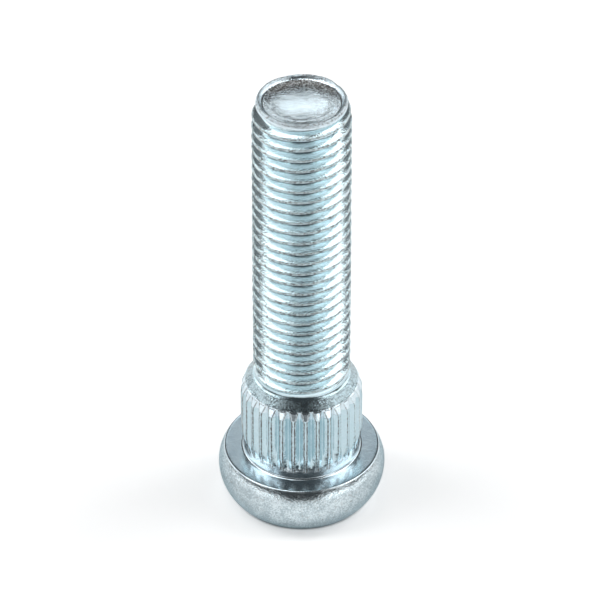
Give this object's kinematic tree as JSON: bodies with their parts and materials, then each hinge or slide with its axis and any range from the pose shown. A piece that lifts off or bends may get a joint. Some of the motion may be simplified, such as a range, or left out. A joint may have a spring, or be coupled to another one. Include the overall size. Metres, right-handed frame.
{
  "type": "wheel stud",
  "caption": "Press-in wheel stud: threaded shank with a hollow tip, a straight knurl under a conical shoulder, and a round flat-faced head.",
  "frame": {"origin": "centre of the head's flat base", "axes": "+Z along the stud's axis, from the head to the threaded tip"},
  "size_m": [0.0206, 0.0206, 0.0586],
  "materials": {
    "zinc_plated_steel": "bright zinc plate with a bluish cast, satin on the forged faces"
  },
  "bodies": {
    "root": {"wheel_stud": "zinc_plated_steel"}
  },
  "joints": []
}
